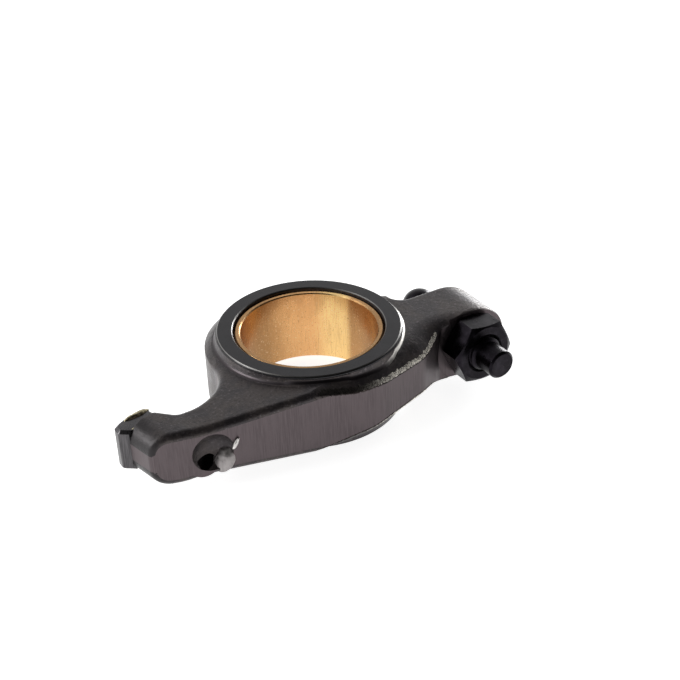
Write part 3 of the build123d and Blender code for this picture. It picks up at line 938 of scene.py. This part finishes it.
class ROCKER_OT_pad(bpy.types.Operator):
    """Dresses the brazed valve pad"""

    bl_idname = "rocker.pad"
    bl_label = "Dress the valve pad"

    def execute(self, context):
        settings = in_mm(context.scene.rocker_braze)
        self.pad(settings)
        self.braze(settings)
        return {"FINISHED"}

    @staticmethod
    def pad(settings):
        """The pad with its edges rounded."""
        form = bmesh.new()
        form.from_mesh(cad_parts["valve_pad"].data)
        bmesh.ops.remove_doubles(form, verts=form.verts, dist=JOIN)
        bmesh.ops.recalc_face_normals(form, faces=form.faces)
        mesh = plain_mesh("ground_pad", form)
        mesh.polygons.foreach_set("use_smooth", [True] * len(mesh.polygons))
        mesh.set_sharp_from_angle(angle=radians(50))
        pad = new_piece("ground_pad", mesh, [ground_pad()], "arm")
        rounding = pad.modifiers.new("rounding", "BEVEL")
        rounding.width = settings.pad_rounding * MM
        rounding.segments = 3
        rounding.limit_method = "ANGLE"
        rounding.angle_limit = radians(22)
        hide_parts("valve_pad")

    @staticmethod
    def braze(settings):
        """A bead in the seat's corner and a smear on the pad, over and under."""
        rise = tan(settings.seat_slope)
        start, end = settings.end_x + 0.9, PAD_HIGH.x / MM - 0.4
        half = PAD_HIGH.z / MM - 0.2
        tree = ragged_bead()
        finish = braze_brass()
        for place, side in (("upper", 1), ("lower", -1)):
            seam, smear = [], []
            for k in range(5):
                x = start + (end - start) * k / 4
                seat = settings.end_y + rise * (x - settings.end_x)
                seam.append((x, seat + 0.3, side * half))
                smear.append((x, seat + settings.lay - 0.5 * rise * (k - 1), side * half))
            for name, path, radius in (
                ("braze_seam", seam, settings.seam), ("braze_smear", smear, settings.smear)
            ):
                sizes = {
                    "Radius": radius * MM,
                    "Lumps": settings.lumps * MM,
                    "Grain": 0.9,
                    "Seed": 3.0 + side,
                }
                tree.make(f"{name}_{place}", path, sizes, finish, "arm", "bronze")


class ROCKER_OT_nut(bpy.types.Operator):
    """Dresses the lock nut"""

    bl_idname = "rocker.nut"
    bl_label = "Dress the lock nut"

    def execute(self, context):
        dress("lock_nut", black_oxide("nut_black"))
        return {"FINISHED"}


class ROCKER_OT_screw(bpy.types.Operator):
    """Turns the adjusting screw and cuts its thread"""

    bl_idname = "rocker.screw"
    bl_label = "Turn the adjusting screw"

    def execute(self, context):
        settings = in_mm(context.scene.rocker_thread)
        low, high = settings.thread_low, settings.thread_high
        edge = settings.edge
        sizes = {
            "Axis": SCREW_X,
            "Pitch": settings.pitch * MM,
            "Depth": settings.depth * MM,
            "Thread Low": (low + edge) * MM,
            "Thread High": (high - edge) * MM,
            "Around": settings.segments + 1,
            "Along": settings.rows,
        }
        finish = black_oxide("screw_black", worn=0.12)
        piece = turned_screw().make(
            "threaded_screw", self.profile(settings), sizes, finish, "screw", "black_steel"
        )
        point_outwards(piece.data, Vector((SCREW_X, (SCREW_HIGH.y + SCREW_LOW.y) / 2, 0)))
        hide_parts("adjusting_screw")
        return {"FINISHED"}

    @staticmethod
    def profile(settings):
        """Half the screw's outline as radius and height, from its tip to the ball's top."""
        low, high = settings.thread_low, settings.thread_high
        edge = settings.edge
        end, end_radius = SCREW_LOW.y / MM, settings.tip / 2
        major = settings.major / 2
        neck = settings.neck / 2
        ball_radius = (SCREW_HIGH.x - SCREW_LOW.x) / 2 / MM
        ball = SCREW_HIGH.y / MM - ball_radius
        steps = 40
        low_turn = -asin(sqrt(ball_radius**2 - neck**2) / ball_radius)
        arc = []
        for k in range(steps + 1):
            turn = low_turn + (pi / 2 - low_turn) * k / steps
            arc.append((ball_radius * cos(turn), ball + ball_radius * sin(turn), 0))
        return [
            (0, end, 0),
            (end_radius - edge, end, 0),
            (end_radius, end + edge, 0),
            (end_radius, low, 0),
            (major - edge, low, 0),
            (major, low + edge, 0),
            (major, high - edge, 0),
            (major - edge, high, 0),
            (neck, high, 0),
            *arc,
        ]


# ---- stage ---------------------------------------------------------------------------------
def soft_light(name, power, size, place):
    """A square softbox that faces the bore, with its size and place in millimetres."""
    light = bpy.data.lights.new(name, "AREA")
    light.energy = power
    light.size = size * MM
    lamp = bpy.data.objects.new(name, light)
    bpy.context.scene.collection.objects.link(lamp)
    lamp.location = Vector(place) * MM
    lamp.rotation_euler = (-Vector(place)).to_track_quat("-Z", "Y").to_euler()


class ROCKER_OT_stage(bpy.types.Operator):
    """Sets the floor, the light and the camera"""

    bl_idname = "rocker.stage"
    bl_label = "Set the stage"

    def execute(self, context):
        settings = in_mm(context.scene.rocker_stage)
        self.floor()
        self.lights(context, settings)
        self.camera(context, settings)
        context.scene.view_settings.view_transform = "Standard"
        return {"FINISHED"}

    @staticmethod
    def floor():
        """A pale floor that the arm lies on."""
        form = bmesh.new()
        bmesh.ops.create_grid(form, x_segments=1, y_segments=1, size=4.0)
        mesh = plain_mesh("floor", form)
        floor = bpy.data.objects.new("floor", mesh)
        floor.location.z = ARM_LOW.z
        bpy.context.scene.collection.objects.link(floor)
        finish = Finish("pale_floor", metallic=0.0, roughness=0.9)
        cloud = finish.noise(40.0, detail=2)
        tone = finish.blend(finish.ramp(cloud, 0.3, 0.7), (0.86, 0.86, 0.86), (0.88, 0.88, 0.88))
        finish.set(Base_Color=tone, Emission_Color=tone, Emission_Strength=1.0)
        mesh.materials.append(finish.material)

    @staticmethod
    def lights(context, settings):
        """A bright tent with a dark opening, and a softbox behind each end."""
        world = bpy.data.worlds.new("tent")
        world.use_nodes = True
        nodes, links = world.node_tree.nodes, world.node_tree.links
        background = nodes["Background"]
        background.inputs["Color"].default_value = (1, 1, 1, 1)
        towards = nodes.new("ShaderNodeVectorMath")
        towards.operation = "DOT_PRODUCT"
        towards.inputs[1].default_value = settings.dark_side
        links.new(nodes.new("ShaderNodeTexCoord").outputs["Generated"], towards.inputs[0])
        dimming = nodes.new("ShaderNodeMapRange")
        dimming.interpolation_type = "SMOOTHSTEP"
        for name, value in (
            ("From Min", 0.2), ("From Max", 0.75), ("To Min", settings.sky), ("To Max", 0.02)
        ):
            dimming.inputs[name].default_value = value
        links.new(towards.outputs["Value"], dimming.inputs["Value"])
        links.new(dimming.outputs["Result"], background.inputs["Strength"])
        context.scene.world = world
        soft_light("right_light", settings.right_power, 160, (400, 190, 30))
        soft_light("left_light", settings.left_power, 240, (-420, 160, 180))

    @staticmethod
    def camera(context, settings):
        """The camera, turned round the arm and about its own axis."""
        turn, rise, roll = settings.azimuth, settings.elevation, settings.roll
        right = Vector((cos(turn), sin(turn), 0))
        ahead = Vector((-sin(turn) * cos(rise), cos(turn) * cos(rise), -sin(rise)))
        up = right.cross(ahead)
        rolled_right = right * cos(roll) - up * sin(roll)
        rolled_up = right * sin(roll) + up * cos(roll)
        place = (Vector(settings.aim) - ahead * settings.distance) * MM
        facing = Matrix((rolled_right, rolled_up, -ahead)).transposed()
        lens = bpy.data.cameras.new("camera")
        lens.lens = settings.lens
        lens.sensor_width = 36.0
        lens.clip_start = 0.01
        camera = bpy.data.objects.new("camera", lens)
        camera.matrix_world = Matrix.LocRotScale(place, facing, None)
        context.scene.collection.objects.link(camera)
        context.scene.camera = camera


# ---- panel ---------------------------------------------------------------------------------
class ROCKER_PT_dressing(bpy.types.Panel):
    """Lists the arm's settings and the steps that dress it"""

    bl_label = "Rocker Arm"
    bl_space_type = "VIEW_3D"
    bl_region_type = "UI"
    bl_category = "Rocker Arm"

    def draw(self, context):
        for owner, _ in SETTINGS:
            group = getattr(context.scene, owner)
            for name in group.__annotations__:
                self.layout.prop(group, name)
        for step in STEPS:
            self.layout.operator(step.bl_idname)


SETTINGS = (
    ("rocker_forging", ForgingSettings),
    ("rocker_flash", FlashSettings),
    ("rocker_pocket", PocketSettings),
    ("rocker_bush", BushSettings),
    ("rocker_braze", BrazeSettings),
    ("rocker_thread", ThreadSettings),
    ("rocker_stage", StageSettings),
)
STEPS = (
    ROCKER_OT_arm,
    ROCKER_OT_ring_root,
    ROCKER_OT_flash,
    ROCKER_OT_pocket,
    ROCKER_OT_bush,
    ROCKER_OT_pad,
    ROCKER_OT_screw,
    ROCKER_OT_nut,
    ROCKER_OT_stage,
)


def register():
    for name, kind in SETTINGS:
        bpy.utils.register_class(kind)
        setattr(bpy.types.Scene, name, PointerProperty(type=kind))
    for kind in (*STEPS, ROCKER_PT_dressing):
        bpy.utils.register_class(kind)


def unregister():
    for kind in reversed((*STEPS, ROCKER_PT_dressing)):
        bpy.utils.unregister_class(kind)
    for name, kind in reversed(SETTINGS):
        delattr(bpy.types.Scene, name)
        bpy.utils.unregister_class(kind)


def main():
    """Registers the add-on and takes every step."""
    register()
    for step in STEPS:
        group, name = step.bl_idname.split(".")
        getattr(getattr(bpy.ops, group), name)()


if __name__ == "__main__":
    main()
